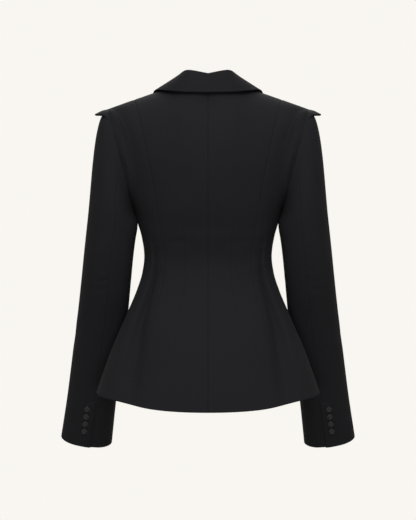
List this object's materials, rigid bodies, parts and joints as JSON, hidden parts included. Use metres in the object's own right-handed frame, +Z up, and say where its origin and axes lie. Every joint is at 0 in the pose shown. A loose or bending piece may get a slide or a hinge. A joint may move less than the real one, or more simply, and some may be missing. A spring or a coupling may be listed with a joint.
{
  "type": "blazer",
  "caption": "Fitted black blazer in hollow worn form: seamed waist and flared skirt, notched collar and lapels, pointed shoulder wings, two-piece sleeves and buttons.",
  "frame": {"origin": "on the shoulder line, midway between the two shoulder seams, where the wearer's shoulders hold the blazer up", "axes": "+Z up, the wearer faces -Y so the blazer's back is at +Y, +X to the wearer's left"},
  "size_m": [0.575, 0.3229, 0.722],
  "materials": {
    "black_wool": "matte, fine smooth wool weave",
    "black_button": "satin, dished"
  },
  "bodies": {
    "root": {"centre_back_left": "black_wool", "centre_back_right": "black_wool", "side_back_left": "black_wool", "side_back_right": "black_wool", "side_front_left": "black_wool", "side_front_right": "black_wool", "front_left": "black_wool", "front_right": "black_wool", "top_sleeve_left": "black_wool", "top_sleeve_right": "black_wool", "under_sleeve_left": "black_wool", "under_sleeve_right": "black_wool", "shoulder_wing_left": "black_wool", "shoulder_wing_right": "black_wool", "lapel_left": "black_wool", "lapel_right": "black_wool", "collar": "black_wool", "cuff_button_left_1": "black_button", "cuff_button_left_2": "black_button", "cuff_button_left_3": "black_button", "cuff_button_left_4": "black_button", "cuff_button_right_1": "black_button", "cuff_button_right_2": "black_button", "cuff_button_right_3": "black_button", "cuff_button_right_4": "black_button", "front_button": "black_button"}
  },
  "joints": []
}
